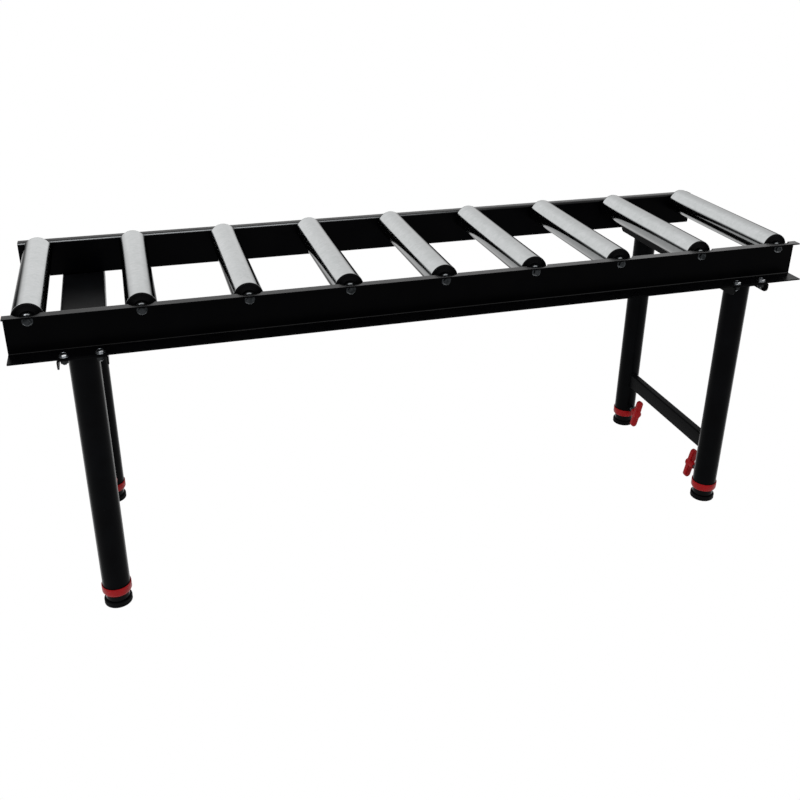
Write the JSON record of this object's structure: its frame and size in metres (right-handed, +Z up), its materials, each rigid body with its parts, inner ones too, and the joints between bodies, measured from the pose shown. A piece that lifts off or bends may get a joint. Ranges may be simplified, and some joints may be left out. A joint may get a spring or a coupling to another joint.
{
  "type": "roller stand",
  "caption": "Free-standing roller table: idle steel rollers between bent steel side rails, on telescopic legs locked by clamp knobs.",
  "frame": {"origin": "on the floor under the middle of the table, legs in", "axes": "+X along the side rails, +Y across the table from the front rail to the rear rail, +Z up"},
  "size_m": [1.7, 0.514, 0.693],
  "materials": {
    "rail_paint": "semi-gloss black powder coat",
    "leg_paint": "semi-gloss black powder coat",
    "inner_leg_paint": "gloss black enamel",
    "red_plastic": "moulded red plastic, slightly glossy",
    "foot_plastic": "moulded black plastic, matt",
    "cap_plastic": "moulded black plastic, matt",
    "roller_zinc": "zinc-plated steel tube, satin",
    "bearing_steel": "ground bearing steel",
    "axle_steel": "plain drawn steel",
    "bolt_zinc": "bright zinc plating"
  },
  "bodies": {
    "frame": {"front_rail": "rail_paint", "rear_rail": "rail_paint", "left_leg_head": "rail_paint", "right_leg_head": "rail_paint", "left_stretcher": "leg_paint", "right_stretcher": "leg_paint", "front_left_leg_tube": "leg_paint", "rear_left_leg_tube": "leg_paint", "front_right_leg_tube": "leg_paint", "rear_right_leg_tube": "leg_paint", "front_left_collar": "red_plastic", "rear_left_collar": "red_plastic", "front_right_collar": "red_plastic", "rear_right_collar": "red_plastic", "roller_axles": "axle_steel", "axle_bolts": "bolt_zinc", "bearing_inner_rings": "bearing_steel", "weld_nuts": "leg_paint", "leg_bolts": "bolt_zinc", "leg_washers": "bolt_zinc", "leg_nuts": "bolt_zinc"},
    "roller_1": {"roller_tube_1": "roller_zinc", "roller_caps_1": "cap_plastic", "roller_bearings_1": "bearing_steel"},
    "roller_2": {"roller_tube_2": "roller_zinc", "roller_caps_2": "cap_plastic", "roller_bearings_2": "bearing_steel"},
    "roller_3": {"roller_tube_3": "roller_zinc", "roller_caps_3": "cap_plastic", "roller_bearings_3": "bearing_steel"},
    "roller_4": {"roller_tube_4": "roller_zinc", "roller_caps_4": "cap_plastic", "roller_bearings_4": "bearing_steel"},
    "roller_5": {"roller_tube_5": "roller_zinc", "roller_caps_5": "cap_plastic", "roller_bearings_5": "bearing_steel"},
    "roller_6": {"roller_tube_6": "roller_zinc", "roller_caps_6": "cap_plastic", "roller_bearings_6": "bearing_steel"},
    "roller_7": {"roller_tube_7": "roller_zinc", "roller_caps_7": "cap_plastic", "roller_bearings_7": "bearing_steel"},
    "roller_8": {"roller_tube_8": "roller_zinc", "roller_caps_8": "cap_plastic", "roller_bearings_8": "bearing_steel"},
    "roller_9": {"roller_tube_9": "roller_zinc", "roller_caps_9": "cap_plastic", "roller_bearings_9": "bearing_steel"},
    "front_left_leg": {"front_left_inner_leg": "inner_leg_paint", "front_left_foot": "foot_plastic"},
    "rear_left_leg": {"rear_left_inner_leg": "inner_leg_paint", "rear_left_foot": "foot_plastic"},
    "front_right_leg": {"front_right_inner_leg": "inner_leg_paint", "front_right_foot": "foot_plastic"},
    "rear_right_leg": {"rear_right_inner_leg": "inner_leg_paint", "rear_right_foot": "foot_plastic"},
    "front_left_clamp": {"front_left_clamp_knob": "red_plastic"},
    "rear_left_clamp": {"rear_left_clamp_knob": "red_plastic"},
    "front_right_clamp": {"front_right_clamp_knob": "red_plastic"},
    "rear_right_clamp": {"rear_right_clamp_knob": "red_plastic"}
  },
  "joints": [
    {"name": "roller_1_spin", "type": "hinge", "parent": "frame", "child": "roller_1", "pos_m": [-0.808, 0, 0.663], "axis": [0, 1, 0], "continuous": true},
    {"name": "roller_2_spin", "type": "hinge", "parent": "frame", "child": "roller_2", "pos_m": [-0.606, 0, 0.663], "axis": [0, 1, 0], "continuous": true},
    {"name": "roller_3_spin", "type": "hinge", "parent": "frame", "child": "roller_3", "pos_m": [-0.404, 0, 0.663], "axis": [0, 1, 0], "continuous": true},
    {"name": "roller_4_spin", "type": "hinge", "parent": "frame", "child": "roller_4", "pos_m": [-0.202, 0, 0.663], "axis": [0, 1, 0], "continuous": true},
    {"name": "roller_5_spin", "type": "hinge", "parent": "frame", "child": "roller_5", "pos_m": [0, 0, 0.663], "axis": [0, 1, 0], "continuous": true},
    {"name": "roller_6_spin", "type": "hinge", "parent": "frame", "child": "roller_6", "pos_m": [0.202, 0, 0.663], "axis": [0, 1, 0], "continuous": true},
    {"name": "roller_7_spin", "type": "hinge", "parent": "frame", "child": "roller_7", "pos_m": [0.404, 0, 0.663], "axis": [0, 1, 0], "continuous": true},
    {"name": "roller_8_spin", "type": "hinge", "parent": "frame", "child": "roller_8", "pos_m": [0.606, 0, 0.663], "axis": [0, 1, 0], "continuous": true},
    {"name": "roller_9_spin", "type": "hinge", "parent": "frame", "child": "roller_9", "pos_m": [0.808, 0, 0.663], "axis": [0, 1, 0], "continuous": true},
    {"name": "front_left_leg_slide", "type": "slide", "parent": "frame", "child": "front_left_leg", "axis": [0, 0, -1], "range_m": [0, 0.36]},
    {"name": "rear_left_leg_slide", "type": "slide", "parent": "frame", "child": "rear_left_leg", "axis": [0, 0, -1], "range_m": [0, 0.36]},
    {"name": "front_right_leg_slide", "type": "slide", "parent": "frame", "child": "front_right_leg", "axis": [0, 0, -1], "range_m": [0, 0.36]},
    {"name": "rear_right_leg_slide", "type": "slide", "parent": "frame", "child": "rear_right_leg", "axis": [0, 0, -1], "range_m": [0, 0.36]},
    {"name": "front_left_clamp_turn", "type": "hinge", "parent": "frame", "child": "front_left_clamp", "pos_m": [-0.721, -0.205, 0.059], "axis": [0, -1, 0], "range_deg": [0, 450]},
    {"name": "rear_left_clamp_turn", "type": "hinge", "parent": "frame", "child": "rear_left_clamp", "pos_m": [-0.721, 0.205, 0.059], "axis": [0, 1, 0], "range_deg": [0, 450]},
    {"name": "front_right_clamp_turn", "type": "hinge", "parent": "frame", "child": "front_right_clamp", "pos_m": [0.721, -0.205, 0.059], "axis": [0, -1, 0], "range_deg": [0, 450]},
    {"name": "rear_right_clamp_turn", "type": "hinge", "parent": "frame", "child": "rear_right_clamp", "pos_m": [0.721, 0.205, 0.059], "axis": [0, 1, 0], "range_deg": [0, 450]}
  ]
}
